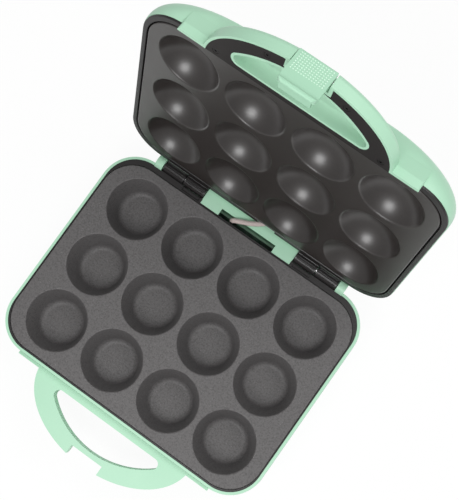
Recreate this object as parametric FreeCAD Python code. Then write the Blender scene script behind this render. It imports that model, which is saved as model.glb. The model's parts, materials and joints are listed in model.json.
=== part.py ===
import FreeCAD, Part
import math
import os

from FreeCAD import Vector

# A countertop cupcake maker, in millimetres. It is drawn closed, with x = y = 0 at the middle of the cups,
# +Y towards the hinge and z = 0 on the face of the lower plate. At the end the lid is swung open about
# the hinge, and the whole is lifted onto its feet and centred front to back.

# Cup grid and cooking plates
columns = 4
rows = 3
cup_pitch = 62.0
cup_mouth_r = 28.2
cup_floor_r = 20.0
cup_depth = 27.0
cup_floor_round = 6.0
cup_wall = 2.4
cup_lip_round = 1.2
dome_rim_r = 27.5
dome_depth = 17.0
dome_wall = 2.4
dome_lip_round = 1.5
plate_t = 3.5
plate_margin_x = 41.25
plate_margin_y = 36.5
plate_corner_r = 32.0
plate_edge_round = 1.0
upper_plate_inset = 1.9
plate_face_gap = 0.5
plate_post_r = 3.4
plate_post_h = 2.5
plate_post_inset = 5.0

# Seams and fits
seam = 0.3
lid_seam = 0.9
fit = 0.15
hang_gap = 0.3
pin_fit = 0.02
running_fit = 0.05
screw_fit = 0.02

# Black frames round the plates
base_bead = 0.8
front_bead = 1.3
rear_bead = 5.05
frame_drop = 0.4
flange_t = 2.5
flange_side = 9.5
flange_end = 5.0
lid_lip_t = 1.7
lid_lip_inset = 0.6
lid_lip_round = 0.5
lid_seat_bevel = 0.5
lid_face_gap = 0.6

# Outer shells: each profile row is (share of the height, side inset, front inset, rear inset, corner radius)
shell_wall = 2.4
rim_corner_r = 34.0
tub_depth = 50.0
tub_profile = [
    (0.0, 0.0, 0.0, 0.0, 34.0),
    (0.18, -0.9, -0.8, -0.6, 35.0),
    (0.52, -0.4, -0.3, 0.3, 36.0),
    (0.8, 3.0, 3.5, 2.5, 37.0),
    (0.94, 8.0, 9.0, 6.0, 38.0),
    (1.0, 14.0, 15.0, 10.0, 38.0),
]
lid_rim_z = 2.5
lid_height = 36.0
lid_profile = [
    (0.0, 0.0, 0.0, 0.0, 34.0),
    (0.35, 0.1, 0.0, 0.0, 37.0),
    (0.54, 3.0, 1.2, 1.2, 41.0),
    (0.68, 8.0, 3.0, 3.4, 44.0),
    (0.82, 20.0, 5.5, 7.0, 46.0),
    (0.93, 45.0, 12.0, 16.0, 46.0),
    (1.0, 80.0, 28.0, 34.0, 40.0),
]
lid_rear_step = 4.0

# Front aprons, where the two shells meet in front of the rims
apron_half_w = 105.0
apron_t = 3.4
apron_ridge_z = 2.5
apron_slope_h = 14.0
apron_end_r = 2.0
rim_groove_w = 0.8
rim_groove_depth = 3.0

# Handle: the two halves meet a little below the plates' faces
grip_drop = 5.25
grip_gap = 0.5
grip_t = 14.0
grip_half_w = 82.3
grip_reach = 53.2
grip_root_y = -100.5
grip_wall = 2.2
grip_round = 5.0
opening_r = 84.8
opening_arc_y = -54.6
opening_edge_y = -110.2
opening_corner_r = 5.0
insert_t = 2.2
insert_screw_l = 8.0
insert_boss_r = 3.2
insert_wall_t = 1.8
outer_screw_inset = 7.8
inner_screw_x = 33.0

# Latch in the middle of the handle
notch_half_w = 16.7
notch_depth = 9.9
notch_wall = 2.8
latch_side_gap = 0.8
latch_t = 2.7
latch_top = 7.0
latch_bottom = -23.6
latch_proud = 0.25
latch_lip_r = 2.2
latch_corner_r = 5.0
hook_t = 3.2
hook_bite = 3.2
hook_gap = 0.4
hook_half_w = 13.0
latch_pin_r = 1.5
latch_pin_z = 2.0
latch_pin_back = 3.7
latch_boss_r = 3.2
latch_ear_t = 3.0
latch_ear_x = 9.5
latch_open_angle = 22.0
spring_wire_r = 0.4
spring_turns = 7

# Hinge
hinge_back = 11.5
hinge_z = -1.4
open_angle = 108.5
barrel_r = 5.6
hinge_pin_r = 2.0
inner_knuckle_x = 50.0
inner_knuckle_w = 22.0
outer_knuckle_w = 22.0
knuckle_gap = 1.0
groove_r = 0.6
groove_end = 1.4
outer_groove_angles = (62.0, 90.0, 118.0)
inner_groove_angles = (192.0, 212.0, 232.0)
bead_pocket_depth = 2.2
bead_pocket_line = 1.3
bead_island_w = 1.6
ear_r = 6.6
ear_w = 7.7
housing_back = 8.4
housing_depth = 38.0
housing_floor_z = -31.0
pocket_floor_z = -8.0
pocket_gap = 0.6
deck_t = 2.6
slot_half_w = 29.5
slot_reach = 8.5
stop_gap = 0.3
lid_arm_top = 8.3

# Inside
rod_r = 3.25
rod_drop = 16.0
upper_rod_rise = 13.0
upper_turn_back = 4.0
rod_cold_end = 127.0
terminal_r = 1.4
terminal_l = 5.0
shield_t = 0.6
shield_drop = 37.4
shield_inset_x = 9.0
shield_inset_y = 6.0
upper_shield_rise = 24.0
upper_shield_inset = 12.0
base_post_r = 4.2
base_boss_r = 5.5
base_post_x = 62.0
base_post_front = 18.0
base_post_rear = 19.0
screw_r = 1.5
screw_head_r = 2.7
screw_head_h = 1.6
long_screw_r = 1.9
long_screw_head_r = 3.4
thermostat_r = 8.0
thermostat_h = 6.5
fuse_r = 2.1
fuse_l = 14.0
block_w = 36.0
block_d = 14.0
block_h = 8.0
block_back = 44.0
block_window_gap = 1.5
wire_r = 1.1
wire_end_gap = 0.3
gland_x = 84.0
gland_z = -21.0
gland_r = 5.5
gland_flange_r = 8.0
gland_bore_r = 3.4
gland_l = 14.0
sleeve_r = 2.3
sleeve_entry_x = 13.0
sleeve_entry_z = 3.0
sleeve_bite = 1.6
sleeve_notch_half_w = 9.5
sleeve_notch_h = 9.5
rear_screw_x = 30.0
rear_screw_z = 11.5
rear_screw_l = 7.5
lead_start = 18.0
lead_step = 6.0
lead_spread = 14.0
wire_lift = 2.8

# Feet, lamps
foot_r = 9.0
foot_h = 5.0
foot_peg_r = 3.0
foot_x = 100.0
foot_front = 72.0
foot_rear = 84.0
lamp_r = 4.0
lamp_x = 12.0
lamp_y = -58.0
lamp_proud = 1.6
lamp_flange_r = 5.4

# Derived places
plate_half_w = (columns - 1) * cup_pitch / 2 + plate_margin_x
plate_half_d = (rows - 1) * cup_pitch / 2 + plate_margin_y
upper_half_w = plate_half_w - upper_plate_inset
upper_half_d = plate_half_d - upper_plate_inset
upper_corner_r = plate_corner_r - upper_plate_inset
rim_half_w = plate_half_w + seam + base_bead + fit + shell_wall
rim_front = -(plate_half_d + seam + front_bead + fit + shell_wall)
base_rim_rear = plate_half_d + seam + rear_bead + fit + shell_wall
lid_rim_rear = base_rim_rear - lid_rear_step
grip_base_z = -grip_drop - grip_gap / 2
grip_lid_z = -grip_drop + grip_gap / 2
grip_tip_y = grip_root_y - grip_reach
notch_y = grip_tip_y + notch_depth
apron_y = rim_front - apron_t
skirt_y = rim_front - fit
hinge_y = plate_half_d + hinge_back
outer_knuckle_x = inner_knuckle_x + inner_knuckle_w + knuckle_gap
ear_x = outer_knuckle_x + outer_knuckle_w + knuckle_gap
housing_half_w = ear_x + ear_w
housing_rear = hinge_y + housing_back
pocket_rear = hinge_y + barrel_r + pocket_gap
deck_front = plate_half_d + seam + 1.2
deck_half_w = inner_knuckle_x - knuckle_gap
slot_rear = plate_half_d + slot_reach
latch_face_y = grip_tip_y - latch_proud
latch_back_y = latch_face_y + latch_t
latch_half_w = notch_half_w - latch_side_gap
latch_pin_y = latch_back_y + latch_pin_back
hook_z = grip_base_z - grip_t - hook_gap
sphere_r = (dome_rim_r ** 2 + dome_depth ** 2) / (2 * dome_depth)
upper_face_z = plate_face_gap
flange_base_z = -plate_t - plate_post_h
flange_lid_z = upper_face_z + plate_t + plate_post_h
shield_z = -shield_drop
upper_shield_z = upper_shield_rise
floor_z = -tub_depth
tub_floor = floor_z + shell_wall
lid_top = lid_rim_z + lid_height
hinge_line = Vector(0, hinge_y, hinge_z)
latch_line = Vector(0, latch_pin_y, latch_pin_z)
far = 400.0


def box(x0, x1, y0, y1, z0, z1):
    """A block between two corners."""
    return Part.makeBox(x1 - x0, y1 - y0, z1 - z0, Vector(x0, y0, z0))


def post(r, x, y, z0, z1):
    """An upright cylinder."""
    return Part.makeCylinder(r, z1 - z0, Vector(x, y, z0))


def bar(r, x0, x1, y, z):
    """A cylinder along X."""
    return Part.makeCylinder(r, x1 - x0, Vector(x0, y, z), Vector(1, 0, 0))


def join(parts):
    """One solid from touching or overlapping ones."""
    return parts[0].multiFuse(parts[1:]).removeSplitter()


def mirrored(shape):
    """The same piece on the other side of the middle plane."""
    return shape.mirror(Vector(0, 0, 0), Vector(1, 0, 0))


def both_sides(shape):
    """A piece and its mirror image."""
    return [shape, mirrored(shape)]


def outline(half_w, front, rear, r, z):
    """A rounded rectangle as a wire of four lines and four arcs."""
    bend = r * (1 - math.sqrt(0.5))
    edges = []
    corners = [(1, front, 1), (1, rear, -1), (-1, rear, -1), (-1, front, 1)]
    starts = []
    for side, y, inward in corners:
        along_x = Vector(side * (half_w - r), y, z)
        along_y = Vector(side * half_w, y + inward * r, z)
        middle = Vector(side * (half_w - bend), y + inward * bend, z)
        first, last = (along_x, along_y) if side * inward > 0 else (along_y, along_x)
        starts.append((first, middle, last))
    for k in range(4):
        first, middle, last = starts[k]
        edges.append(Part.Arc(first, middle, last).toShape())
        edges.append(Part.LineSegment(last, starts[(k + 1) % 4][0]).toShape())
    return Part.Wire(edges)


def slab(half_w, front, rear, r, z0, z1):
    """A plate with rounded corners."""
    return Part.Face(outline(half_w, front, rear, r, z0)).extrude(Vector(0, 0, z1 - z0))


def pillow(profile, rear, z0, height, wall, level):
    """A shell's outer body or, with a wall, its cavity: a loft through the profile's rows."""
    wires = []
    for share, side, front, back, r in profile:
        z = z0 + share * height * level
        wires.append(outline(rim_half_w - side - wall, rim_front + front + wall, rear - back - wall,
                             r - wall, z))
    return Part.makeLoft(wires, True, False)


def prism_x(points, x0, x1):
    """A polygon in the YZ plane carried along X."""
    ring = [Vector(x0, y, z) for y, z in points]
    return Part.Face(Part.makePolygon(ring + ring[:1])).extrude(Vector(x1 - x0, 0, 0))


def rounded(shape, radius, wanted):
    """The shape with a fillet on each edge that the test picks."""
    return shape.makeFillet(radius, [edge for edge in shape.Edges if wanted(edge)])


def cup_spots():
    """The middle of each cup."""
    for column in range(columns):
        for row in range(rows):
            yield (column - (columns - 1) / 2) * cup_pitch, (row - (rows - 1) / 2) * cup_pitch


def plate_post_spots(half_w):
    """Screw posts along a plate's two sides, in line with the cups' rows."""
    for row in range(rows):
        y = (row - (rows - 1) / 2) * cup_pitch
        yield half_w - plate_post_inset, y
        yield -half_w + plate_post_inset, y


def rim_edges(radius, z):
    """A test for the circles of one radius on one level."""
    def wanted(edge):
        if edge.Degenerated or not isinstance(edge.Curve, Part.Circle):
            return False
        return abs(edge.Curve.Radius - radius) < 0.05 and abs(edge.Curve.Center.z - z) < 0.01
    return wanted


def level_edges(z):
    """A test for the edges that lie on one level."""
    def wanted(edge):
        bounds = edge.BoundBox
        return abs(bounds.ZMin - z) < 0.01 and abs(bounds.ZMax - z) < 0.01
    return wanted


def screw(r, head_r, head_h, length, start, direction):
    """A pan-head screw: the head lies behind the start, the shank ahead of it."""
    shank = Part.makeCylinder(r, length, start, direction)
    head = Part.makeCylinder(head_r, head_h, start - direction * head_h, direction)
    socket = Part.makeCylinder(r * 0.6, head_h * 0.5, start - direction * head_h, direction)
    return join([shank, head]).cut(socket)


def half_ellipse(shrink, z0, z1):
    """The handle's outer plan, carried upwards."""
    a = grip_half_w - shrink
    b = grip_reach - shrink
    curve = Part.Ellipse(Vector(0, grip_root_y, z0), a, b).toShape(math.pi, 2 * math.pi)
    chord = Part.LineSegment(Vector(a, grip_root_y, z0), Vector(-a, grip_root_y, z0)).toShape()
    return Part.Face(Part.Wire([curve, chord])).extrude(Vector(0, 0, z1 - z0))


def grip_opening(grow, z0, z1):
    """The finger opening: a circle's segment with rounded tips."""
    disc = post(opening_r + grow, 0, opening_arc_y, z0, z1)
    segment = disc.common(box(-far, far, -far, opening_edge_y + grow, z0, z1))

    def upright(edge):
        bounds = edge.BoundBox
        return bounds.XLength < 0.01 and bounds.YLength < 0.01
    return rounded(segment, opening_corner_r + grow, upright)


def grip_notch(grow, z0, z1):
    """The latch's notch in the front of the handle."""
    return box(-notch_half_w - grow, notch_half_w + grow, -far, notch_y + grow, z0, z1)


def grip_band(z0, z1, shrink, from_y):
    """The hollow band between the handle's outer wall, the opening's wall and the notch's wall."""
    band = half_ellipse(grip_wall + shrink, z0, z1)
    band = band.cut(grip_opening(grip_wall + shrink, z0, z1))
    band = band.cut(grip_notch(notch_wall + shrink, z0, z1))
    return band.common(box(-far, far, -far, from_y, z0, z1))


def insert_screw_places():
    """The insert's four screws: one pair clear of its rear wall, one pair halfway across its band."""
    outer_y = skirt_y - hang_gap - insert_wall_t - insert_boss_r - hang_gap
    across = math.sqrt(1 - ((outer_y - grip_root_y) / grip_reach) ** 2)
    outer_x = grip_half_w * across - grip_wall - outer_screw_inset
    front = grip_root_y - grip_reach * math.sqrt(1 - (inner_screw_x / grip_half_w) ** 2)
    back = opening_arc_y - math.sqrt(opening_r ** 2 - inner_screw_x ** 2)
    for x, y in ((outer_x, outer_y), (inner_screw_x, (front + back) / 2)):
        yield x, y
        yield -x, y


# Lower half

def base_post_places():
    """Where the base's four long screws stand."""
    for side in (1, -1):
        yield side * base_post_x, rim_front + base_post_front
        yield side * base_post_x, base_rim_rear - base_post_rear


def foot_places():
    """Name and middle of each foot."""
    yield "foot_front_left", -foot_x, -foot_front
    yield "foot_front_right", foot_x, -foot_front
    yield "foot_rear_left", -foot_x, foot_rear
    yield "foot_rear_right", foot_x, foot_rear


def arm_reach():
    """The hinge arm's far corner, measured from the hinge line."""
    return lid_rim_rear + fit - hinge_y, lid_arm_top - hinge_z


def stop_height():
    """How high the pocket's rear wall may stand before the open arm rests on it."""
    y, z = arm_reach()
    tangent = math.atan2(z, y) - math.acos(barrel_r / math.hypot(y, z)) - math.radians(open_angle)
    offset = pocket_rear - hinge_y
    return hinge_z + (barrel_r - offset * math.cos(tangent)) / math.sin(tangent) - stop_gap


def grooved_knuckle(x0, x1, angles):
    """A hinge barrel with shallow grooves along it, each at an angle round the hinge line."""
    grooves = []
    for angle in angles:
        y = hinge_y + barrel_r * math.cos(math.radians(angle))
        z = hinge_z + barrel_r * math.sin(math.radians(angle))
        grooves.append(bar(groove_r, x0 + groove_end, x1 - groove_end, y, z))
    return bar(barrel_r, x0, x1, hinge_y, hinge_z).cut(grooves)


def bead_pocket():
    """The pocket in the rear bead in front of an inner knuckle, round a low island."""
    line = bead_pocket_line
    front, rear = plate_half_d + seam + 0.8, base_rim_rear
    x0, x1 = inner_knuckle_x + line, inner_knuckle_x + inner_knuckle_w - line
    floor = -frame_drop - bead_pocket_depth
    room = box(x0, x1, front, rear, floor, 1)
    island = box(x0 + line, x1 - line, front + line, front + line + bead_island_w, floor, -2 * frame_drop)
    return room.cut(island)


def base_apron():
    """The strip in front of the rim that meets the lid's skirt."""
    foot_z = grip_base_z - apron_slope_h
    inner = rim_front + shell_wall / 2
    section = [(apron_y, grip_base_z), (inner, grip_base_z), (inner, foot_z), (rim_front, foot_z)]
    return prism_x(section, -apron_half_w, apron_half_w)


def base_handle():
    """The lower half of the handle, still without its hollow."""
    bottom = grip_base_z - grip_t
    grip = rounded(half_ellipse(0, bottom, grip_base_z), grip_round,
                   lambda edge: level_edges(bottom)(edge) and edge.BoundBox.YLength > 1)
    return grip.cut(grip_opening(0, bottom, grip_base_z)).cut(grip_notch(0, bottom, grip_base_z))


def hinge_housing():
    """The body behind the tub that carries the hinge, still without its pockets."""
    front = base_rim_rear - shell_wall / 2
    section = [(front, 0), (housing_rear, 0), (housing_rear, housing_floor_z), (front, -housing_depth)]
    body = prism_x(section, -housing_half_w, housing_half_w)
    ears = both_sides(bar(ear_r, ear_x, housing_half_w, hinge_y, hinge_z))
    return [body, centre_deck()] + ears


def centre_deck():
    """The flat mint strip between the two hinges."""
    return box(-deck_half_w, deck_half_w, deck_front, housing_rear - 1, -deck_t, 0)


def housing_hollows():
    """The rooms in the hinge housing: below the pockets, below the deck, and the lead's way through."""
    inner_rear = housing_rear - shell_wall
    below = pocket_floor_z - deck_t
    across = housing_half_w - shell_wall
    middle = deck_half_w - shell_wall + 1
    inlet = Vector(gland_x, housing_rear - gland_l / 2 - 1, gland_z)
    return [
        box(-across, across, base_rim_rear, inner_rear, housing_floor_z + 2.5, below),
        box(-middle, middle, base_rim_rear - shell_wall - 1, inner_rear, below - 1, -deck_t),
        box(-slot_half_w, slot_half_w, deck_front - 1, slot_rear, -13, 1),
        box(gland_x - 8, gland_x + 8, base_rim_rear - 5, base_rim_rear + 1, gland_z - 5, gland_z + 5),
        Part.makeCylinder(gland_r + fit, gland_l, inlet, Vector(0, 1, 0)),
    ]


def hinge_pockets():
    """The pockets in which the knuckles turn, open above and, over the stop, to the rear."""
    inner_x = inner_knuckle_x - pocket_gap
    pocket = box(inner_x, ear_x, base_rim_rear - shell_wall - 1, pocket_rear, pocket_floor_z, ear_r + 2)
    above_stop = box(inner_x, ear_x, pocket_rear - 1, housing_rear + 1, stop_height(), ear_r + 2)
    return both_sides(pocket) + both_sides(above_stop)


def base_shell():
    """The mint tub with the lower half of the handle."""
    tub = pillow(tub_profile, base_rim_rear, 0, -tub_depth, 0, 1)
    cavity = pillow(tub_profile, base_rim_rear, 0, -tub_depth, shell_wall, 1 - shell_wall / tub_depth)
    outer = join([tub, base_apron(), base_handle()] + hinge_housing())
    shell = join([outer.cut(cavity), centre_deck()])
    skirt_reach = apron_half_w + hang_gap
    cuts = [
        box(-skirt_reach, skirt_reach, -far, rim_front, grip_base_z, 1),
        grip_band(grip_base_z - grip_t - 1, grip_base_z - grip_wall, 0, apron_y),
        box(-skirt_reach, skirt_reach, rim_front - rim_groove_w, rim_front,
            grip_base_z - rim_groove_depth, 1),
    ]
    cuts += housing_hollows() + hinge_pockets()
    for name, x, y in foot_places():
        cuts.append(post(foot_peg_r + running_fit, x, y, floor_z - 1, tub_floor + 1))
    shell = shell.cut(cuts)
    bosses = [post(base_boss_r, x, y, tub_floor - 1, shield_z) for x, y in base_post_places()]
    shell = join([shell] + bosses)
    holes = []
    for x, y in base_post_places():
        holes.append(post(long_screw_r + 0.2, x, y, floor_z - 1, shield_z + 1))
        holes.append(post(long_screw_head_r + 0.3, x, y, floor_z - 1, tub_floor + 1.5))
    return shell.cut(holes)


def base_frame():
    """The black ring that carries the lower plate, with the outer hinge knuckles."""
    half_w = rim_half_w - shell_wall - fit
    front = rim_front + shell_wall + fit
    rear = base_rim_rear - shell_wall - fit
    corner = rim_corner_r - shell_wall
    bottom = flange_base_z - flange_t
    ring = slab(half_w, front, rear, corner, bottom, -frame_drop)
    seat = slab(plate_half_w + seam, -plate_half_d - seam, plate_half_d + seam, plate_corner_r + seam,
                flange_base_z, 1)
    hole = slab(plate_half_w - flange_side, -plate_half_d + flange_end, plate_half_d - flange_end,
                plate_corner_r - 2, bottom - 1, 1)
    deck_room = box(-deck_half_w - fit, deck_half_w + fit, deck_front - fit, rear + 1, bottom - 1, 1)
    ring = ring.cut([seat, hole, deck_room])
    parts = [ring]
    for x, y in base_post_places():
        reach = front if y < 0 else plate_half_d
        low, high = min(y - 4, reach + 1), max(y + 4, reach - 1)
        if y < 0:
            low = front + 1
        parts.append(box(x - 6, x + 6, low, high, bottom, flange_base_z))
        parts.append(post(base_post_r, x, y, shield_z + shield_t, bottom + 0.5))
    knuckle_end = outer_knuckle_x + outer_knuckle_w
    knuckle = grooved_knuckle(outer_knuckle_x, knuckle_end, outer_groove_angles)
    tab = box(outer_knuckle_x, knuckle_end, rear - 1, hinge_y, hinge_z - barrel_r, hinge_z - 1)
    parts += both_sides(knuckle) + both_sides(tab)
    frame = join(parts)
    holes = both_sides(bar(hinge_pin_r + pin_fit, outer_knuckle_x - 1, knuckle_end + 1, hinge_y, hinge_z))
    holes += both_sides(bead_pocket())
    for x, y in base_post_places():
        holes.append(post(long_screw_r + screw_fit, x, y, shield_z, bottom - 2))
    for x, y in plate_post_spots(plate_half_w):
        holes.append(post(screw_r + screw_fit, x, y, bottom - 1, flange_base_z + 1))
    return frame.cut(holes)


def cup(grow, drop):
    """One cup's form: a cone with a rounded floor."""
    slope = (cup_mouth_r - cup_floor_r) / cup_depth
    floor_r = cup_floor_r + grow
    depth = cup_depth + drop
    body = Part.makeCone(floor_r, floor_r + slope * depth, depth, Vector(0, 0, -depth))
    return rounded(body, cup_floor_round + grow, level_edges(-depth))


def lower_plate():
    """The grey cooking plate with its cups."""
    plate = slab(plate_half_w, -plate_half_d, plate_half_d, plate_corner_r, -plate_t, 0)
    plate = rounded(plate, plate_edge_round, level_edges(0))
    outside = cup(cup_wall, cup_wall).common(box(-far, far, -far, far, -far, -plate_t / 2))
    inside = cup(0, 0)
    parts = [plate]
    for x, y in cup_spots():
        parts.append(outside.translated(Vector(x, y, 0)))
    for x, y in plate_post_spots(plate_half_w):
        parts.append(post(plate_post_r, x, y, flange_base_z, -plate_t / 2))
    plate = join(parts)
    holes = [inside.translated(Vector(x, y, 0)) for x, y in cup_spots()]
    for x, y in plate_post_spots(plate_half_w):
        holes.append(post(screw_r + screw_fit, x, y, flange_base_z - 1, -plate_t + 1))
    plate = plate.cut(holes)
    return rounded(plate, cup_lip_round, rim_edges(cup_mouth_r, 0))


def element(z, turn_back):
    """A tubular heater: out along one gap between the rows, round the last cup and back."""
    side = cup_pitch / 2
    turn_x = (columns - 1) * cup_pitch / 2 - turn_back
    points = [Vector(-rod_cold_end, -side, z), Vector(turn_x, -side, z), Vector(turn_x + side, 0, z),
              Vector(turn_x, side, z), Vector(-rod_cold_end, side, z)]
    path = Part.Wire([Part.LineSegment(points[0], points[1]).toShape(),
                      Part.Arc(points[1], points[2], points[3]).toShape(),
                      Part.LineSegment(points[3], points[4]).toShape()])
    section = Part.Wire(Part.Circle(points[0], Vector(1, 0, 0), rod_r).toShape())
    rod = path.makePipeShell([section], True, True)
    ends = [bar(terminal_r, -rod_cold_end - terminal_l, -rod_cold_end + 1, y, z) for y in (-side, side)]
    return join([rod] + ends)


def lower_heat_shield():
    """The steel tray under the cups, held by the base's long screws."""
    edge_x = plate_half_w - shield_inset_x
    edge_y = plate_half_d - shield_inset_y
    tray = slab(edge_x, -edge_y, edge_y, plate_corner_r - shield_inset_y, shield_z, shield_z + shield_t)
    holes = [post(long_screw_r + 0.2, x, y, shield_z - 1, shield_z + 2) for x, y in base_post_places()]
    x, y, z = block_place()
    across, along = block_w / 2 + block_window_gap, block_d / 2 + block_window_gap
    holes.append(box(x - across, x + across, y - along, y + along, shield_z - 1, shield_z + 2))
    return tray.cut(holes)


def lower_plate_screws():
    """The screws that hold the lower plate to its frame."""
    start = flange_base_z - flange_t
    length = flange_t + plate_post_h + 0.5
    return [screw(screw_r, screw_head_r, screw_head_h, length, Vector(x, y, start), Vector(0, 0, 1))
            for x, y in plate_post_spots(plate_half_w)]


def base_screws():
    """The long screws that hold tub, tray and frame together."""
    start = tub_floor + 1.5
    length = flange_base_z - flange_t - 4 - start
    return [screw(long_screw_r, long_screw_head_r, 2.4, length, Vector(x, y, start), Vector(0, 0, 1))
            for x, y in base_post_places()]


def foot(x, y):
    """A rubber foot with its peg."""
    pad = rounded(post(foot_r, x, y, floor_z - foot_h, floor_z), 1.0, level_edges(floor_z - foot_h))
    return join([pad, post(foot_peg_r, x, y, floor_z - 1, tub_floor)])


def cup_floor_spot(column, row):
    """A point on the underside of one cup."""
    x = (column - (columns - 1) / 2) * cup_pitch
    y = (row - (rows - 1) / 2) * cup_pitch
    return x, y, -cup_depth - cup_wall


def thermostat():
    """The disc thermostat under a middle cup."""
    x, y, z = cup_floor_spot(1, 1)
    low = z - thermostat_h
    reach = thermostat_r + 5
    tabs = box(x - reach, x + reach, y - 1.6, y + 1.6, low, low + 0.8)
    return join([post(thermostat_r, x, y, low, z), tabs])


def thermal_fuse():
    """The one-shot fuse under the next cup."""
    x, y, z = cup_floor_spot(2, 1)
    body = bar(fuse_r, x - fuse_l / 2, x + fuse_l / 2, y, z - fuse_r)
    leads = bar(0.5, x - fuse_l / 2 - 5, x + fuse_l / 2 + 5, y, z - fuse_r)
    return join([body, leads])


def block_place():
    """The middle of the terminal block's foot."""
    return gland_x, plate_half_d - block_back, tub_floor


def terminal_block():
    """The connector block on the tub's floor."""
    x, y, z = block_place()
    body = box(x - block_w / 2, x + block_w / 2, y - block_d / 2, y + block_d / 2, z, z + block_h)
    holes = []
    for k in range(3):
        px = x + (k - 1) * block_w / 3
        entry = Vector(px, y - block_d / 2 - 1, z + block_h / 2 - 1)
        holes.append(post(2.2, px, y, z + block_h - 3, z + block_h + 1))
        holes.append(Part.makeCylinder(1.8, block_d + 2, entry, Vector(0, 1, 0)))
    return body.cut(holes)


def wire_run(points, r):
    """A lead as straight stretches with round joints."""
    parts = []
    for start, end in zip(points, points[1:]):
        parts.append(Part.makeCylinder(r, (end - start).Length, start, end - start))
    for point in points[1:-1]:
        parts.append(Part.makeSphere(r, point))
    return join(parts)


def base_wiring():
    """The leads between the terminal block, the thermostat, the fuse and the element's ends."""
    x, y, z = block_place()
    low = z + block_h / 2 - 1
    under = (shield_z + tub_floor) / 2
    side = cup_pitch / 2
    back = y + block_d / 2
    front = y - block_d / 2
    edge = -plate_half_w + shield_inset_x / 2
    end_x = -rod_cold_end - terminal_l / 2
    end_z = -rod_drop - terminal_r - wire_end_gap
    gland_end = housing_rear - gland_l / 2 - 3
    runs = [
        [Vector(x, back, low), Vector(x, back + 5, low), Vector(x, plate_half_d - 2.5, low),
         Vector(x, plate_half_d - 1, gland_z), Vector(x, gland_end, gland_z)],
        [Vector(x - block_w / 3, front, low), Vector(x - block_w / 3, front - 4, low),
         Vector(edge + 12, side + 8, under), Vector(edge, side + 5, shield_z + 1),
         Vector(end_x, side, end_z)],
        [Vector(x + block_w / 3, front, low), Vector(x + block_w / 3, front - 4, low),
         Vector(x, -side - 8, under), Vector(edge + 12, -side - 8, under),
         Vector(edge, -side - 5, shield_z + 1), Vector(end_x, -side, end_z)],
    ]
    return [wire_run(run, wire_r) for run in runs]


def cord_gland():
    """The bush in the housing's rear wall that takes the mains lead."""
    axis = Vector(0, 1, 0)
    inner_y = housing_rear - gland_l / 2
    body = Part.makeCylinder(gland_r, gland_l, Vector(gland_x, inner_y, gland_z), axis)
    flange = Part.makeCylinder(gland_flange_r, 2, Vector(gland_x, housing_rear, gland_z), axis)
    tip = Vector(gland_x, housing_rear + 2, gland_z)
    nose = Part.makeCone(gland_r + 1, gland_r, gland_l / 2 - 2, tip, axis)
    bore = Part.makeCylinder(gland_bore_r, gland_l + 2, Vector(gland_x, inner_y - 1, gland_z), axis)
    return join([body, flange, nose]).cut(bore)


def hinge_pin():
    """The right-hand steel pin, through an outer and an inner knuckle."""
    length = outer_knuckle_x + outer_knuckle_w - inner_knuckle_x - 0.5
    pin = bar(hinge_pin_r, inner_knuckle_x + 0.5, inner_knuckle_x + 0.5 + length, hinge_y, hinge_z)
    return pin.makeChamfer(0.5, [edge for edge in pin.Edges if isinstance(edge.Curve, Part.Circle)])


# Upper half, drawn closed

def lid_apron():
    """The skirt that hangs in front of the base's rim, and the slope above it."""
    top = apron_ridge_z + apron_slope_h
    inner = rim_front + shell_wall / 2
    skirt = prism_x([(skirt_y - hang_gap, grip_lid_z), (apron_y, grip_lid_z), (apron_y, apron_ridge_z),
                     (rim_front, top), (inner, top), (inner, lid_rim_z), (skirt_y - hang_gap, lid_rim_z)],
                    -apron_half_w, apron_half_w)

    def front_corner(edge):
        bounds = edge.BoundBox
        return bounds.XLength < 0.01 and bounds.YMax < apron_y + 0.01 and bounds.ZLength > 1
    return rounded(skirt, apron_end_r, front_corner)


def lid_handle():
    """The upper half of the handle, still without its hollow."""
    top = grip_lid_z + grip_t
    grip = rounded(half_ellipse(0, grip_lid_z, top), grip_round,
                   lambda edge: level_edges(top)(edge) and edge.BoundBox.YLength > 1)
    return grip.cut(grip_opening(0, grip_lid_z, top)).cut(grip_notch(0, grip_lid_z, top))


def lid_rear_cuts():
    """The notches in the lid's rear wall for the hinge arms, the sleeve and the two screws."""
    low, high = lid_rim_rear - 6, lid_rim_rear + 6
    arm_end = inner_knuckle_x + inner_knuckle_w + pocket_gap
    arm_cut = box(inner_knuckle_x - pocket_gap, arm_end, low, high, lid_rim_z - 1, lid_arm_top + pocket_gap)
    sleeve_low = sleeve_entry_x - sleeve_notch_half_w
    sleeve_high = sleeve_entry_x + sleeve_notch_half_w
    sleeve_cut = box(sleeve_low, sleeve_high, low, high, lid_rim_z - 1, lid_rim_z + sleeve_notch_h)
    screw_cut = Part.makeCylinder(screw_r + 0.2, 12, Vector(rear_screw_x, low, rear_screw_z), Vector(0, 1, 0))
    return both_sides(arm_cut) + both_sides(screw_cut) + [sleeve_cut]


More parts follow.
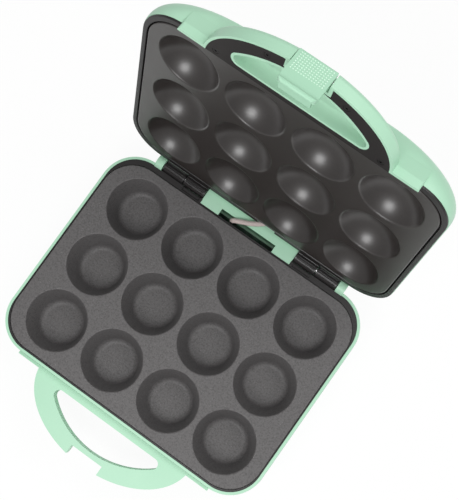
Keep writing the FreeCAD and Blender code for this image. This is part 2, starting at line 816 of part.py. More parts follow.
def lid_shell():
    """The mint dome with the upper half of the handle."""
    top = grip_lid_z + grip_t
    dome = pillow(lid_profile, lid_rim_rear, lid_rim_z, lid_height, 0, 1)
    cavity = pillow(lid_profile, lid_rim_rear, lid_rim_z, lid_height, shell_wall, 1 - shell_wall / lid_height)
    shell = join([dome, lid_apron(), lid_handle()]).cut(cavity)
    edge = skirt_y - hang_gap
    cuts = [
        box(-far, far, edge, 0, grip_lid_z - 1, lid_rim_z),
        grip_band(grip_lid_z - 1, top - grip_wall, 0, edge),
    ]
    cuts += lid_rear_cuts()
    cuts += both_sides(post(lamp_r + fit, lamp_x, lamp_y, lid_top - 3 * shell_wall, lid_top + 1))
    shell = shell.cut(cuts)
    spots = list(insert_screw_places())
    bosses = [post(insert_boss_r, x, y, grip_lid_z + insert_t, top - grip_wall / 2) for x, y in spots]
    shell = join([shell] + bosses)
    holes = [post(screw_r + screw_fit, x, y, grip_lid_z, top - grip_wall - 1) for x, y in spots]
    pin_reach = notch_half_w + notch_wall + 1
    holes.append(bar(latch_pin_r + pin_fit, -pin_reach, pin_reach, latch_pin_y, latch_pin_z))
    return shell.cut(holes)


def lid_seat_mouth():
    """The bevel round the mouth of the upper plate's seat, with as much again below the lip's face."""
    rings = []
    for step in (1, -1):
        grow = lid_seam + (1 + step) * lid_seat_bevel
        rings.append(outline(upper_half_w + grow, -upper_half_d - grow, upper_half_d + grow,
                             upper_corner_r + grow, lid_face_gap - step * lid_seat_bevel))
    return Part.makeLoft(rings, True, True)


def lid_frame():
    """The black ring that carries the upper plate, with the inner hinge knuckles."""
    half_w = rim_half_w - shell_wall - fit
    front = rim_front + shell_wall + fit
    rear = lid_rim_rear - shell_wall - fit
    top = flange_lid_z + flange_t
    body = slab(half_w, front, rear, rim_corner_r - shell_wall, lid_face_gap + 1, top)
    lip = slab(rim_half_w - lid_lip_inset, rim_front + fit, lid_rim_rear - fit, rim_corner_r - lid_lip_inset,
               lid_face_gap, lid_face_gap + lid_lip_t)
    lip = rounded(lip, lid_lip_round, level_edges(lid_face_gap))
    seat = slab(upper_half_w + lid_seam, -upper_half_d - lid_seam, upper_half_d + lid_seam,
                upper_corner_r + lid_seam, -1, flange_lid_z)
    hole = slab(upper_half_w - flange_side + 1, -upper_half_d + flange_end, upper_half_d - flange_end,
                upper_corner_r - 2, -1, top + 1)
    ring = join([body, lip]).cut([seat, hole, lid_seat_mouth()])
    parts = [ring]
    for side in (1, -1):
        x = side * rear_screw_x
        parts.append(box(x - 4, x + 4, upper_half_d - flange_end, rear, top - 1, rear_screw_z + 4))
    reach_y, reach_z = arm_reach()
    arm_top = hinge_z + reach_z
    arm_rear = hinge_y + reach_y
    tangent = math.atan2(reach_z, reach_y) - math.acos(barrel_r / math.hypot(reach_y, reach_z))
    touch = (hinge_y + barrel_r * math.cos(tangent), hinge_z + barrel_r * math.sin(tangent))
    profile = [(rear - 1, lid_face_gap), (hinge_y - barrel_r, lid_face_gap),
               (hinge_y - barrel_r * 0.7, hinge_z), (hinge_y, hinge_z), touch, (arm_rear, arm_top),
               (rear - 1, arm_top)]
    arm = prism_x(profile, inner_knuckle_x, inner_knuckle_x + inner_knuckle_w)
    knuckle = grooved_knuckle(inner_knuckle_x, inner_knuckle_x + inner_knuckle_w, inner_groove_angles)
    parts += both_sides(arm) + both_sides(knuckle)
    frame = join(parts)
    bore = bar(hinge_pin_r + running_fit, inner_knuckle_x - 1, inner_knuckle_x + inner_knuckle_w + 1, hinge_y,
               hinge_z)
    holes = both_sides(bore)
    sleeve_low = sleeve_entry_x - sleeve_notch_half_w
    sleeve_high = sleeve_entry_x + sleeve_notch_half_w
    seat_rear = upper_half_d + lid_seam
    holes.append(box(sleeve_low, sleeve_high, seat_rear + 0.6, lid_rim_rear + 1, -1, top + 1))
    for x, y in plate_post_spots(upper_half_w):
        holes.append(post(screw_r + screw_fit, x, y, flange_lid_z - 1, top + 1))
    screw_start = Vector(rear_screw_x, rear + 1, rear_screw_z)
    holes += both_sides(Part.makeCylinder(screw_r + screw_fit, 6, screw_start, Vector(0, -1, 0)))
    return frame.cut(holes)


def grip_insert():
    """The black panel under the upper half of the handle."""
    edge = skirt_y - hang_gap
    panel = grip_band(grip_lid_z, grip_lid_z + insert_t, fit, edge)
    reach = grip_half_w - grip_wall - 1.5
    wall = box(-reach, reach, edge - insert_wall_t, edge, grip_lid_z, lid_face_gap - 0.2)
    panel = join([panel, wall])
    holes = []
    for x, y in insert_screw_places():
        holes.append(post(screw_r + 0.2, x, y, grip_lid_z - 1, grip_lid_z + insert_t + 1))
        holes.append(post(screw_head_r + 0.2, x, y, grip_lid_z - 1, grip_lid_z + screw_head_h - 0.4))
    return panel.cut(holes)


def insert_screws():
    """The four screws in the handle's insert."""
    start = grip_lid_z + screw_head_h - 0.4
    up = Vector(0, 0, 1)
    return [screw(screw_r, screw_head_r, screw_head_h - 0.5, insert_screw_l, Vector(x, y, start), up)
            for x, y in insert_screw_places()]


def lid_rear_screws():
    """The two screws that hold shell and frame together at the back."""
    wall = lid_rim_rear + 0.4
    return [screw(screw_r, screw_head_r, screw_head_h, rear_screw_l,
                  Vector(side * rear_screw_x, wall, rear_screw_z), Vector(0, -1, 0)) for side in (1, -1)]


def upper_plate():
    """The dark cooking plate with its domes."""
    top = upper_face_z + plate_t
    plate = slab(upper_half_w, -upper_half_d, upper_half_d, upper_corner_r, upper_face_z, top)
    plate = rounded(plate, plate_edge_round, level_edges(upper_face_z))
    centre_z = upper_face_z + dome_depth - sphere_r
    above = box(-far, far, -far, far, upper_face_z + plate_t / 2, far)
    outside = Part.makeSphere(sphere_r + dome_wall, Vector(0, 0, centre_z)).common(above)
    inside = Part.makeSphere(sphere_r, Vector(0, 0, centre_z))
    parts = [plate]
    for x, y in cup_spots():
        parts.append(outside.translated(Vector(x, y, 0)))
    for x, y in plate_post_spots(upper_half_w):
        parts.append(post(plate_post_r, x, y, top - 1, flange_lid_z))
    plate = join(parts)
    holes = [inside.translated(Vector(x, y, 0)) for x, y in cup_spots()]
    for x, y in plate_post_spots(upper_half_w):
        holes.append(post(screw_r + screw_fit, x, y, top - 1, flange_lid_z + 1))
    plate = plate.cut(holes)
    return rounded(plate, dome_lip_round, rim_edges(dome_rim_r, upper_face_z))


def upper_plate_screws():
    """The screws that hold the upper plate to its frame."""
    start = flange_lid_z + flange_t
    length = flange_t + plate_post_h + 0.5
    return [screw(screw_r, screw_head_r, screw_head_h, length, Vector(x, y, start), Vector(0, 0, -1))
            for x, y in plate_post_spots(upper_half_w)]


def upper_heat_shield():
    """The steel sheet over the domes, on four folded feet that stand on the frame."""
    foot_z = flange_lid_z + flange_t
    half_w = upper_half_w - upper_shield_inset
    half_d = upper_half_d - upper_shield_inset
    z = upper_shield_z
    sheet = slab(half_w, -half_d, half_d, upper_corner_r - upper_shield_inset, z, z + shield_t)
    parts = [sheet]
    for row in range(rows - 1):
        y = (row - (rows - 2) / 2) * cup_pitch * 1.5
        leg = box(half_w - 1, half_w - 1 + shield_t, y - 4, y + 4, foot_z, z + shield_t / 2)
        toe = box(half_w - 1, half_w + 4, y - 4, y + 4, foot_z, foot_z + shield_t)
        parts += both_sides(leg) + both_sides(toe)
    return join(parts)


def lamp_lens(x):
    """A lamp's clear button in the top of the lid."""
    body = post(lamp_r, x, lamp_y, lid_top - shell_wall - 1.4, lid_top + lamp_proud)
    body = rounded(body, lamp_proud - 0.1, level_edges(lid_top + lamp_proud))
    flange = post(lamp_flange_r, x, lamp_y, lid_top - shell_wall - 1.4, lid_top - shell_wall - 0.2)
    return join([body, flange])


def lamp_board_z():
    """The top of the lamp board."""
    return upper_shield_z + shield_t + 2


def lamp_holder():
    """The small board under the two lamps."""
    z = lamp_board_z()
    board = box(-lamp_x - 9, lamp_x + 9, lamp_y - 6, lamp_y + 6, z - 1.6, z)
    legs = [post(1.5, side * (lamp_x + 6), lamp_y, upper_shield_z + shield_t, z - 1) for side in (1, -1)]
    return join([board] + legs)


def neon_lamps():
    """The two small glass lamps on the board."""
    z = lamp_board_z()
    return [rounded(post(2.0, side * lamp_x, lamp_y, z, lid_top - shell_wall - 2.0), 1.5,
                    level_edges(lid_top - shell_wall - 2.0)) for side in (1, -1)]


def lid_wiring():
    """The leads from the sleeve to the element's ends and to the lamps."""
    z = upper_shield_z + shield_t + wire_lift
    side = cup_pitch / 2
    edge = -upper_half_w + upper_shield_inset - 4
    first_y, second_y, third_y = [upper_half_d - lead_start - lead_step * k for k in range(3)]
    end_x = -rod_cold_end - terminal_l / 2
    end_z = upper_rod_rise + terminal_r + wire_end_gap
    slot_y = lid_rim_rear - shell_wall - 0.5
    runs = [
        [Vector(sleeve_entry_x, slot_y, 7.5), Vector(sleeve_entry_x, slot_y, 11),
         Vector(sleeve_entry_x, upper_half_d - 5, z), Vector(sleeve_entry_x - 4, first_y, z),
         Vector(edge + 6, side + 8, z), Vector(edge, side + 5, z - 5), Vector(end_x, side, end_z + 3),
         Vector(end_x, side, end_z)],
        [Vector(0, second_y, z), Vector(edge + 6, -side - 8, z), Vector(edge, -side - 5, z - 5),
         Vector(end_x, -side, end_z + 3), Vector(end_x, -side, end_z)],
        [Vector(lead_spread, third_y, z), Vector(1.5 * lead_spread, 0, z), Vector(lamp_x + 4, lamp_y + 8, z)],
    ]
    return [wire_run(run, wire_r) for run in runs]


def latch():
    """The sprung clasp that hooks under the lower half of the handle."""
    front, back = latch_face_y, latch_back_y
    plate = box(-latch_half_w, latch_half_w, front, back, latch_bottom, latch_top)
    plate = rounded(plate, latch_t / 2 - 0.05, lambda edge: edge.BoundBox.ZMin > latch_top - 0.01)
    lip_y, lip_z = back - latch_lip_r + 0.6, latch_bottom + latch_lip_r / 2
    lip = bar(latch_lip_r, -latch_half_w, latch_half_w, lip_y, lip_z)
    low = lip_z - latch_lip_r

    def lower_corner(edge):
        bounds = edge.BoundBox
        return bounds.XLength < 0.01 and bounds.ZLength < 0.01 and bounds.ZMax < low + 0.01
    room = rounded(box(-latch_half_w, latch_half_w, front - 9, back + 9, low, latch_top + 1), latch_corner_r,
                   lower_corner)
    tip = notch_y + hook_bite
    hook = prism_x([(back - 1, hook_z), (tip, hook_z), (tip, hook_z - 1), (tip - hook_t, hook_z - hook_t),
                    (back - 1, hook_z - hook_t)], -hook_half_w, hook_half_w)
    parts = [join([plate, lip]).common(room), hook]
    for x in (latch_ear_x, -latch_ear_x - latch_ear_t):
        parts.append(bar(latch_boss_r, x, x + latch_ear_t, latch_pin_y, latch_pin_z))
        parts.append(box(x, x + latch_ear_t, back - 1, latch_pin_y, latch_pin_z - latch_boss_r,
                         latch_pin_z + latch_boss_r))
    clasp = join(parts)
    return clasp.cut(bar(latch_pin_r + running_fit, -latch_half_w, latch_half_w, latch_pin_y, latch_pin_z))


def latch_pin():
    """The latch's steel pin, held in the notch's walls."""
    reach = notch_half_w + notch_wall - 0.2
    return bar(latch_pin_r, -reach, reach, latch_pin_y, latch_pin_z)


def latch_spring():
    """A torsion spring round the pin, with one leg on the latch and one on the notch's wall."""
    coil_r = latch_pin_r + running_fit + 2 * spring_wire_r
    span = 2 * (latch_ear_x - 1.5)
    pitch = span / spring_turns
    path = Part.makeHelix(pitch, span, coil_r)
    section = Part.Wire(Part.Circle(Vector(coil_r, 0, 0), Vector(0, 1, 0), spring_wire_r).toShape())
    coil = Part.Wire(path.Edges).makePipeShell([section], True, True)
    coil.rotate(Vector(0, 0, 0), Vector(0, 1, 0), 90)
    coil.translate(Vector(-span / 2, latch_pin_y, latch_pin_z))
    return coil


def wiring_sleeve():
    """The sleeve with the lid's supply wires, from the base's slot to the lid's rear edge."""
    swing = math.radians(open_angle)
    d, h = hinge_y - lid_rim_rear + sleeve_bite, lid_rim_z + sleeve_entry_z - hinge_z
    entry = Vector(sleeve_entry_x, hinge_y - d * math.cos(swing) + h * math.sin(swing),
                   hinge_z + d * math.sin(swing) + h * math.cos(swing))
    lift = sleeve_r + 0.5
    slot_y = (deck_front + slot_rear) / 2
    points = [Vector(-17, slot_y, -11), Vector(-17, slot_y, -3), Vector(-12, slot_y + 1.5, lift),
              Vector(4.5, hinge_y + 2, lift), entry]
    return wire_run(points, sleeve_r)


BASE = {
    "base_shell": base_shell,
    "base_frame": base_frame,
    "lower_plate": lower_plate,
    "lower_element": lambda: element(-rod_drop, 0),
    "lower_heat_shield": lower_heat_shield,
    "lower_plate_screws": lower_plate_screws,
    "base_screws": base_screws,
    "thermostat": thermostat,
    "thermal_fuse": thermal_fuse,
    "terminal_block": terminal_block,
    "base_wiring": base_wiring,
    "cord_gland": cord_gland,
    "hinge_pin_right": hinge_pin,
    "hinge_pin_left": lambda: mirrored(hinge_pin()),
    "wiring_sleeve": wiring_sleeve,
}
LID = {
    "lid_shell": lid_shell,
    "lid_frame": lid_frame,
    "grip_insert": grip_insert,
    "insert_screws": insert_screws,
    "lid_rear_screws": lid_rear_screws,
    "upper_plate": upper_plate,
    "upper_element": lambda: element(upper_rod_rise, upper_turn_back),
    "upper_heat_shield": upper_heat_shield,
    "upper_plate_screws": upper_plate_screws,
    "power_lamp_lens": lambda: lamp_lens(-lamp_x),
    "ready_lamp_lens": lambda: lamp_lens(lamp_x),
    "lamp_holder": lamp_holder,
    "neon_lamps": neon_lamps,
    "lid_wiring": lid_wiring,
    "latch_pin": latch_pin,
    "latch_spring": latch_spring,
    "latch": latch,
}


def as_shape(made):
    """One solid as it is, or a group of separate solids."""
    return Part.makeCompound(made) if isinstance(made, list) else made


def main():
    """Build every piece, open the lid, set the origin and write the files."""
    pieces = {name: as_shape(make()) for name, make in BASE.items()}
    for name, x, y in foot_places():
        pieces[name] = foot(x, y)
    for name, make in LID.items():
        shape = as_shape(make()).copy()
        shape.rotate(hinge_line, Vector(1, 0, 0), -open_angle)
        pieces[name] = shape
    front = min(shape.BoundBox.YMin for shape in pieces.values())
    rear = max(shape.BoundBox.YMax for shape in pieces.values())
    move = Vector(0, -(front + rear) / 2, tub_depth + foot_h)
    os.makedirs("parts", exist_ok=True)
    for name, shape in pieces.items():
        shape.translate(move)
        shape.exportStep("parts/%s.step" % name)
        print("%-20s solids %d valid %s" % (name, len(shape.Solids), shape.isValid()))
    print("origin moved by", round(move.y, 4), round(move.z, 4))
    print("hinge line at", hinge_line + move)
    swung = FreeCAD.Placement(Vector(), FreeCAD.Rotation(Vector(1, 0, 0), -open_angle), hinge_line)
    print("latch line at", swung.multVec(latch_line) + move)


main()
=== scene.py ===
import json
import math

import bpy
import numpy as np
from mathutils import Matrix, Vector


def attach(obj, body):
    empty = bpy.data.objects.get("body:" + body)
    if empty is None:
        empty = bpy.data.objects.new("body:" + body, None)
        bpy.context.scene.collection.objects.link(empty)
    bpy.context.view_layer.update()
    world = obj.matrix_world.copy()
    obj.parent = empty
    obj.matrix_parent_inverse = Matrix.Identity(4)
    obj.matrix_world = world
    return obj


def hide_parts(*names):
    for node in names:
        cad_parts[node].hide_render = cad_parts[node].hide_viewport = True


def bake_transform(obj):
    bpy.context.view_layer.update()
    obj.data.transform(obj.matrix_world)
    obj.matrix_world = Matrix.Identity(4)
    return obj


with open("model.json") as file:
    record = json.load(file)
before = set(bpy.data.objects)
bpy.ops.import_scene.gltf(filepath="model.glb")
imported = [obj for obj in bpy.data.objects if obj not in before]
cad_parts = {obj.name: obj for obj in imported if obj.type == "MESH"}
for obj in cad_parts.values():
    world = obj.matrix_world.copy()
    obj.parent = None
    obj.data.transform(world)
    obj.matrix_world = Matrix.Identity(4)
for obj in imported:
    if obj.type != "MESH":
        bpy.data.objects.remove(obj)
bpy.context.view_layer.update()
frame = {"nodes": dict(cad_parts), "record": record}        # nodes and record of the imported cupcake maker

# The part's own sizes, in millimetres, with the maker closed and the plates' faces at z = 0
ORIGIN_SHIFT = (0.0, -28.9902, 55.0)
OPEN_ANGLE = math.radians(108.5)
HINGE_Y, HINGE_Z = 110.0, -1.4
LATCH_FACE_Y = -153.95
LATCH_HALF_W = 15.9
LATCH_TOP = 7.0
SLEEVE_POINTS = [(-17, 103.5, -11), (-17, 103.5, -3), (-12, 105, 2.8), (4.5, 112, 2.8), (13, 119.5, 5.1)]
SLEEVE_R = 2.3

# The view of the photograph
CAMERA_PLACE = (0.0988, -0.0197, 0.9773)
CAMERA_RIGHT = (0.81419085, 0.57885967, -0.04488581)
CAMERA_UP = (-0.57035173, 0.81188892, 0.12464064)
CAMERA_BACK = (0.10859173, -0.07588057, 0.99118615)
CAMERA_LENS = 74.19


def paint(red, green, blue):
    """A colour read off as 0 to 255 on a screen, as linear light: below 10.3 divide by 12.92, above take the power 2.4."""
    screen = np.array([red, green, blue]) / 255
    light = np.where(screen <= 0.04045, screen / 12.92, ((screen + 0.055) / 1.055) ** 2.4)
    return (*light.tolist(), 1.0)


# Shader bench

class Sock:
    """A shader socket that takes part in sums and products as a number would."""

    def __init__(self, bench, out):
        self.bench, self.out = bench, out

    def maths(self, operation, *values, clamp=False):
        return self.bench.node("ShaderNodeMath", {"operation": operation, "use_clamp": clamp},
                               dict(enumerate(values)))

    def __add__(self, other):
        return self.maths("ADD", self, other)

    def __sub__(self, other):
        return self.maths("SUBTRACT", self, other)

    def __rsub__(self, other):
        return self.maths("SUBTRACT", other, self)

    def __mul__(self, other):
        return self.maths("MULTIPLY", self, other)

    def __truediv__(self, other):
        return self.maths("DIVIDE", self, other)

    def __pow__(self, other):
        return self.maths("POWER", self, other)

    __radd__, __rmul__ = __add__, __mul__

    def clipped(self):
        return self.maths("ADD", self, 0.0, clamp=True)

    def above(self, low, high):
        """0 below low, 1 above high and a smooth step between."""
        return self.bench.node("ShaderNodeMapRange", {"interpolation_type": "SMOOTHSTEP"},
                               {"Value": self, "From Min": low, "From Max": high})


class Finish:
    """One material and the bench that its nodes are laid on."""

    def __init__(self, name):
        self.material = bpy.data.materials.new(name)
        self.material.use_nodes = True
        self.tree = self.material.node_tree
        self.tree.nodes.clear()
        self.here = self.node("ShaderNodeTexCoord", out="Object")

    def node(self, kind, settings=None, inputs=None, out=0):
        """Adds a node: its settings come first, then the values or links of its sockets."""
        made = self.tree.nodes.new(kind)
        for key, value in (settings or {}).items():
            if key == "stops":
                ramp = made.color_ramp.elements
                while len(ramp) < len(value):
                    ramp.new(0.5)
                for stop, (place, colour) in zip(ramp, value):
                    stop.position, stop.color = place, colour
            else:
                setattr(made, key, value)
        for key, value in (inputs or {}).items():
            if isinstance(value, Sock):
                self.tree.links.new(value.out, made.inputs[key])
            else:
                made.inputs[key].default_value = value
        return Sock(self, made.outputs[out])

    def noise(self, scale, detail=2.0, rough=0.5, at=None):
        return self.node("ShaderNodeTexNoise", None,
                         {"Vector": at or self.here, "Scale": scale, "Detail": detail, "Roughness": rough}, "Fac")

    def cells(self, scale, at=None, out="Distance"):
        return self.node("ShaderNodeTexVoronoi", None, {"Vector": at or self.here, "Scale": scale}, out)

    def stretched(self, x, y, z):
        """Object coordinates with each axis scaled, for lines and brushing."""
        return self.node("ShaderNodeMapping", None, {"Vector": self.here, "Scale": (x, y, z)})

    def blend(self, share, first, second):
        """A colour between two, through a Mix node."""
        return self.node("ShaderNodeMix", {"data_type": "RGBA"}, {0: share, 6: first, 7: second}, 2)

    def bump(self, height, depth, strength=1.0):
        return self.node("ShaderNodeBump", None, {"Height": height, "Distance": depth, "Strength": strength}, "Normal")

    def done(self, **sockets):
        """Ends the material in a Principled surface with the sockets given by name."""
        named = {key.replace("_", " "): value for key, value in sockets.items()}
        surface = self.node("ShaderNodeBsdfPrincipled", None, named, "BSDF")
        return self.ended(surface)

    def ended(self, surface):
        self.node_out = self.tree.nodes.new("ShaderNodeOutputMaterial")
        self.tree.links.new(surface.out, self.node_out.inputs["Surface"])
        return self.material


# Finishes

def mint_plastic(name, colour, shade, gloss=0.36):
    """Satin moulded plastic: a fine spark-eroded skin, with slow drifts of tone as in thick mouldings."""
    f = Finish(name)
    drift = f.noise(14.0, 3.0)
    tone = f.blend(drift.above(0.35, 0.7), colour, shade)
    skin = f.noise(1500.0, 2.0) * 0.7 + f.noise(420.0, 2.0) * 0.3
    return f.done(Base_Color=tone, Roughness=f.noise(60.0) * 0.10 + (gloss - 0.05), Normal=f.bump(skin, 0.00003),
                  IOR=1.46)


def grained_plastic(name, colour, shade, rough=0.42, grain=1400.0, depth=0.00005, ior=1.38):
    """Black engineering plastic with an etched leather-like grain."""
    f = Finish(name)
    tone = f.blend(f.noise(35.0, 3.0), colour, shade)
    cells = f.cells(grain)
    pits = cells * 0.8 + f.noise(grain * 0.6, 2.0) * 0.4
    return f.done(Base_Color=tone, Roughness=f.noise(90.0) * 0.12 + (rough - 0.06), Normal=f.bump(pits, depth),
                  IOR=ior)


def non_stick(name, colour, dark_fleck, light_fleck, rough, fleck_scale=1300.0, coat=0.0):
    """Sprayed non-stick coating: a flat ground with darker and lighter flecks and a slightly wavy skin."""
    f = Finish(name)
    ground = f.blend(f.noise(fleck_scale * 0.5, 3.0, 0.7).above(0.42, 0.68), colour, dark_fleck)
    sparks = f.noise(fleck_scale, 2.0, 0.6).above(0.60, 0.72)
    tone = f.blend(sparks * 0.7, ground, light_fleck)
    skin = f.noise(fleck_scale * 0.8, 3.0, 0.6) + f.noise(180.0) * 0.6
    return f.done(Base_Color=tone, Roughness=f.noise(45.0, 3.0) * 0.14 + (rough - 0.07), Normal=f.bump(skin, 0.00005),
                  IOR=1.42, Coat_Weight=coat, Coat_Roughness=0.31, Coat_IOR=1.62)


def bright_steel(name, colour, rough, grain_axis=(40.0, 900.0, 900.0)):
    """Steel with fine drawn lines along one axis."""
    f = Finish(name)
    lines = f.noise(1.0, 3.0, 0.6, f.stretched(*grain_axis))
    worn = f.noise(220.0, 3.0)
    tone = f.blend(worn.above(0.4, 0.75), colour, tuple(0.72 * c for c in colour[:3]) + (1.0,))
    return f.done(Base_Color=tone, Metallic=1.0, Roughness=lines * 0.16 + (rough - 0.08), Normal=f.bump(lines, 0.00002))


def soft_rubber(name, colour):
    f = Finish(name)
    dust = f.blend(f.noise(240.0, 4.0).above(0.55, 0.8), colour, paint(70, 70, 70))
    return f.done(Base_Color=dust, Roughness=f.noise(300.0) * 0.1 + 0.78, Normal=f.bump(f.noise(1800.0), 0.00006))


def glazed(name, colour, fleck, rough):
    """Ceramic or hard phenolic with small flecks under a thin glaze."""
    f = Finish(name)
    tone = f.blend(f.noise(700.0, 3.0).above(0.55, 0.75), colour, fleck)
    return f.done(Base_Color=tone, Roughness=f.noise(80.0) * 0.1 + rough, Normal=f.bump(f.noise(900.0), 0.00003),
                  Coat_Weight=0.2)


def lamp_lens(name, colour, deep):
    """Tinted clear plastic over a ribbed back, with the glow of the tint held inside."""
    f = Finish(name)
    ribs = f.node("ShaderNodeTexWave", {"bands_direction": "X"}, {"Vector": f.here, "Scale": 260.0, "Distortion": 0.2},
                  "Fac")
    return f.done(Base_Color=f.blend(ribs, colour, deep), Roughness=f.noise(100.0) * 0.06 + 0.12,
                  Normal=f.bump(ribs, 0.00006), Coat_Weight=0.5, Transmission_Weight=0.25)


def braided(name, colour, gap_shade):
    """Glass-fibre braid: two sets of slanted strands crossing on the tube's own UV map, with painted shade in the gaps
    between strands.
    """
    f = Finish(name)
    place = f.node("ShaderNodeUVMap", {"uv_map": "braid"})
    parts = f.node("ShaderNodeSeparateXYZ", None, {0: place}, 0)
    round_it = parts
    along = Sock(f, parts.out.node.outputs[1])
    one = ((along + round_it) * 6.2832).maths("SINE", (along + round_it) * 6.2832)
    two = ((along - round_it) * 6.2832).maths("SINE", (along - round_it) * 6.2832)
    weave = one * two * 0.5 + 0.5
    # Where the weave is low, the darker gap colour is painted shade between the strands.
    tone = f.blend(weave.above(0.1, 0.7), gap_shade, colour)
    return f.done(Base_Color=tone, Roughness=0.72, Normal=f.bump(weave, 0.00018))


MINT = paint(175, 218, 190)
MINT_SHADE = paint(170, 214, 186)
FINISHES = {
    "mint_shell": mint_plastic("mint_shell", MINT, MINT_SHADE),
    "mint_lid": mint_plastic("mint_lid", MINT, MINT_SHADE),
    "latch_mint": mint_plastic("latch_mint", paint(168, 212, 184), paint(163, 208, 179), 0.42),
    "black_frame": grained_plastic("black_frame", paint(24, 22, 22), paint(32, 29, 29), 0.36, ior=1.5),
    "black_insert": grained_plastic("black_insert", paint(24, 21, 21), paint(36, 31, 30), 0.48, 900.0),
    "grey_coating": non_stick("grey_coating", paint(95, 93, 93), paint(75, 73, 73), paint(134, 132, 133), 0.5),
    # The warm brown tint of these colours is partly the coating's own colour and partly a painted reflection of baked
    # cakes.
    "dark_coating": non_stick("dark_coating", paint(34, 27, 24), paint(27, 21, 19), paint(53, 46, 43), 0.5, 1100.0,
                              coat=0.85),
    "steel": bright_steel("steel", paint(196, 197, 199), 0.3, (700.0, 700.0, 700.0)),
    "black_screw": bright_steel("black_screw", paint(62, 60, 60), 0.4, (700.0, 700.0, 700.0)),
    "pin_steel": bright_steel("pin_steel", paint(188, 188, 190), 0.26),
    "sheathed_rod": bright_steel("sheathed_rod", paint(120, 116, 110), 0.5),
    "shield_sheet": bright_steel("shield_sheet", paint(205, 206, 208), 0.36),
    "rubber_foot": soft_rubber("rubber_foot", paint(44, 44, 45)),
    "gland_plastic": grained_plastic("gland_plastic", paint(36, 36, 37), paint(46, 46, 46), 0.5, 1600.0),
    "block_plastic": glazed("block_plastic", paint(222, 218, 206), paint(196, 190, 176), 0.4),
    "thermostat_ceramic": glazed("thermostat_ceramic", paint(88, 84, 84), paint(104, 98, 96), 0.34),
    "fuse_case": glazed("fuse_case", paint(206, 204, 198), paint(160, 158, 152), 0.3),
    "wire_sleeve": grained_plastic("wire_sleeve", paint(205, 190, 186), paint(190, 176, 172), 0.7, 1200.0),
    "wire_cover": grained_plastic("wire_cover", paint(216, 213, 206), paint(200, 196, 188), 0.6, 1500.0, 0.00002),
    "red_lens": lamp_lens("red_lens", paint(214, 46, 34), paint(150, 18, 14)),
    "green_lens": lamp_lens("green_lens", paint(96, 200, 96), paint(40, 130, 52)),
    "board": glazed("board", paint(172, 160, 126), paint(150, 138, 106), 0.4),
    "lamp_glass": lamp_lens("lamp_glass", paint(236, 226, 214), paint(204, 190, 176)),
}
# The dots are the latch's own mint plastic, coloured lighter as a painted highlight on their raised tops.
LATCH_DOTS_PAINTED_HIGHLIGHT = mint_plastic("latch_dots", paint(206, 236, 216), paint(200, 231, 210), 0.3)
# The second colour is the painted shade in the gaps between the braid's strands.
SLEEVE_BRAID = braided("sleeve_braid", paint(214, 200, 196), paint(150, 136, 132))


def dress_nodes():
    """Gives each CAD node the finish of its slot in the record."""
    for row in frame["record"]["subparts"]:
        piece = frame["nodes"][row["node"]]
        finish = FINISHES[row["material_slot"]]
        if not piece.material_slots:
            piece.data.materials.append(finish)
        for place in piece.material_slots:
            place.material = finish


# Places

def base_place(points):
    """Closed places in millimetres, on the base, as places of the frame in metres."""
    return (np.asarray(points, float) + ORIGIN_SHIFT) / 1000


def lid_place(points):
    """Closed places in millimetres on the lid, turned up about the hinge line by the open angle, in metres."""
    p = np.array(points, float)
    y, z = p[..., 1] - HINGE_Y, p[..., 2] - HINGE_Z
    turned = np.stack([p[..., 0], y * math.cos(OPEN_ANGLE) + z * math.sin(OPEN_ANGLE) + HINGE_Y,
                       z * math.cos(OPEN_ANGLE) - y * math.sin(OPEN_ANGLE) + HINGE_Z], -1)
    return base_place(turned)


# Meshes

def mesh_piece(name, points, faces, finish, body, uv=None):
    """A smooth piece from arrays of points (n, 3) and faces (m, 3 or 4), riding on a body."""
    mesh = bpy.data.meshes.new(name)
    mesh.from_pydata(points.reshape(-1, 3).tolist(), [], faces.reshape(-1, faces.shape[-1]).tolist())
    mesh.shade_smooth()
    mesh.materials.append(finish)
    if uv is not None:
        layer = mesh.uv_layers.new(name="braid")
        loops = np.empty(len(mesh.loops), np.int32)
        mesh.loops.foreach_get("vertex_index", loops)
        layer.data.foreach_set("uv", uv.reshape(-1, 2)[loops].astype(np.float32).ravel())
    piece = bpy.data.objects.new(name, mesh)
    bpy.context.scene.collection.objects.link(piece)
    if body:
        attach(piece, body)
    return piece


def grid_faces(rows, columns, closed=False):
    """The quads between neighbouring points of a grid of rows and columns, the last column joined to the first if closed."""
    r = np.arange(rows - 1)[:, None]
    c = np.arange(columns if closed else columns - 1)[None, :]
    right = (c + 1) % columns
    return np.stack([r * columns + c, r * columns + right, (r + 1) * columns + right, (r + 1) * columns + c], -1)


def latch_dots():
    """Raised dots on the clasp's upper face: on a grid of places, each dot is a flat cap whose height falls with the
    square of the distance from its middle."""
    pitch_x, pitch_z, dot_r, dot_h = 2.15, 2.15, 0.72, 0.42
    xs = (np.arange(13) - 6) * pitch_x
    zs = LATCH_TOP - 2.6 - np.arange(8) * pitch_z
    rings, around = 4, 12
    reach = np.linspace(0, 1, rings)
    turn = np.arange(around) * 2 * math.pi / around
    cap = np.stack([dot_r * reach[:, None] * np.cos(turn), -dot_h * (1 - reach[:, None] ** 2) * np.ones(around),
                    dot_r * reach[:, None] * np.sin(turn)], -1)
    cap[-1, :, 1] = 0.25
    middle = np.stack(np.meshgrid(xs, [LATCH_FACE_Y], zs, indexing="ij"), -1).reshape(-1, 1, 1, 3)
    points = lid_place(middle + cap)
    faces = grid_faces(rings, around, True)[None] + (np.arange(len(middle)) * rings * around)[:, None, None, None]
    return mesh_piece("latch_dots", points, faces.reshape(-1, 4), LATCH_DOTS_PAINTED_HIGHLIGHT, "latch")


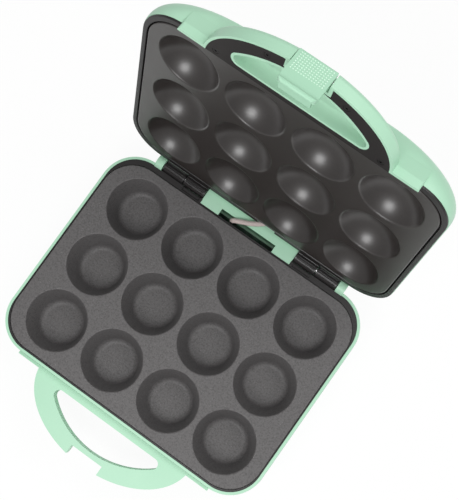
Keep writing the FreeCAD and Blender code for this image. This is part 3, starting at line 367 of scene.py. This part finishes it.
def smooth_route(points, name):
    """Even points along the smooth line of a NURBS spline of order 3 that has the given control points."""
    line = bpy.data.curves.new(name, "CURVE")
    line.dimensions = "3D"
    spline = line.splines.new("NURBS")
    spline.points.add(len(points) - 1)
    spline.points.foreach_set("co", np.c_[points, np.ones(len(points))].ravel())
    spline.order_u = 3
    spline.use_endpoint_u = True
    spline.resolution_u = 16
    holder = bpy.data.objects.new(name, line)
    read = bpy.data.meshes.new_from_object(holder)
    route = np.empty(len(read.vertices) * 3)
    read.vertices.foreach_get("co", route)
    bpy.data.objects.remove(holder)
    bpy.data.meshes.remove(read)
    return route.reshape(-1, 3)


def tube(route, radius, around=24):
    """A round profile carried along a route: at each point, radius times the cosine and sine of the turn, on two axes
    square to the route's direction. Gives the grid of points, and along and round places for a pattern."""
    ahead = np.gradient(route, axis=0)
    ahead /= np.linalg.norm(ahead, axis=1, keepdims=True)
    side = np.cross(ahead, (0.0, 0.0, 1.0) if abs(ahead[:, 2]).max() < 0.97 else (0.0, 1.0, 0.0))
    side /= np.linalg.norm(side, axis=1, keepdims=True)
    over = np.cross(side, ahead)
    turn = np.linspace(0, 2 * math.pi, around + 1)[:, None]
    points = route[:, None] + radius * (np.cos(turn) * side[:, None] + np.sin(turn) * over[:, None])
    run = np.r_[0, np.cumsum(np.linalg.norm(np.diff(route, axis=0), axis=1))]
    places = np.stack(np.broadcast_arrays(turn[:, 0][None] / (2 * math.pi), run[:, None]), -1)
    return points, places


def wiring_sleeve():
    """The braided sleeve with the lid's leads: its line leaves the deck's slot and enters the lid's rear edge."""
    route = smooth_route(base_place(SLEEVE_POINTS), "sleeve_line")
    radius = SLEEVE_R / 1000
    points, places = tube(route, radius)
    strands = 10
    braid = places * (strands, strands / (2 * math.pi * radius))
    points[[0, -1]] = points[[0, -1]].mean(1, keepdims=True) + (points[[0, -1]] - points[[0, -1]].mean(1, keepdims=True)) * 0.7
    piece = mesh_piece("braided_sleeve", points, grid_faces(*points.shape[:2]), SLEEVE_BRAID, None, braid)
    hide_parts("wiring_sleeve")
    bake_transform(piece)


dress_nodes()
latch_dots()
wiring_sleeve()


# Studio

def studio():
    """A pale floor that keeps the shadow, an even white world, one broad lamp beside the camera and a broad softbox
    overhead.
    """
    size = 6.0
    floor_finish = Finish("studio_floor")
    f = floor_finish
    path = f.node("ShaderNodeLightPath", out="Is Camera Ray")
    white = f.node("ShaderNodeBsdfDiffuse", None, {"Color": (0.92, 0.92, 0.92, 1)}, "BSDF")
    glow = f.node("ShaderNodeEmission", None, {"Color": (1, 1, 1, 1), "Strength": 1.0}, "Emission")
    seen = f.node("ShaderNodeMixShader", None, {0: path * 0.93, 1: white, 2: glow}, "Shader")
    f.ended(seen)
    mesh = bpy.data.meshes.new("studio_floor")
    mesh.from_pydata([(-size, -size, 0), (size, -size, 0), (size, size, 0), (-size, size, 0)], [], [(0, 1, 2, 3)])
    mesh.materials.append(f.material)
    floor = bpy.data.objects.new("studio_floor", mesh)
    bpy.context.scene.collection.objects.link(floor)

    world = bpy.data.worlds.new("studio_world")
    bpy.context.scene.world = world
    world.use_nodes = True
    tree = world.node_tree
    sky = Finish.__new__(Finish)
    sky.tree = tree
    tree.nodes.clear()
    seen = sky.node("ShaderNodeLightPath", out="Is Camera Ray")
    through = Sock(sky, seen.out.node.outputs["Is Transmission Ray"])
    share = (seen + through).clipped()
    strength = share * (1.0 - WORLD_LIGHT) + WORLD_LIGHT
    light = sky.node("ShaderNodeBackground", None, {"Color": (1, 1, 1, 1), "Strength": strength}, "Background")
    out = tree.nodes.new("ShaderNodeOutputWorld")
    tree.links.new(light.out, out.inputs["Surface"])

    lamp("front_lamp", (0.06, -0.47, 0.85), (0.0, 0.1, 0.12), 0.36, 3.9)
    lamp("overhead_softbox", (0.45, 0.62, 1.2), (0.0, 0.05, 0.1), 0.8, 6.7)


def lamp(name, place, target, size, power):
    """A square soft lamp of the given side, in metres, aimed at a point."""
    light = bpy.data.lights.new(name, "AREA")
    light.shape, light.size, light.energy = "SQUARE", size, power
    holder = bpy.data.objects.new(name, light)
    holder.matrix_world = (Matrix.Translation(place)
                           @ (Vector(place) - Vector(target)).to_track_quat("Z", "Y").to_matrix().to_4x4())
    bpy.context.scene.collection.objects.link(holder)


WORLD_LIGHT = 0.5


def camera():
    """The photograph's camera, from its three axes as columns and its place."""
    lens = bpy.data.cameras.new("photo_camera")
    lens.lens, lens.sensor_width = CAMERA_LENS, 36.0
    holder = bpy.data.objects.new("photo_camera", lens)
    axes = Matrix((CAMERA_RIGHT, CAMERA_UP, CAMERA_BACK)).transposed().to_4x4()
    holder.matrix_world = Matrix.Translation(CAMERA_PLACE) @ axes
    bpy.context.scene.collection.objects.link(holder)
    bpy.context.scene.camera = holder


studio()
camera()
bpy.context.scene.view_settings.view_transform = "Standard"
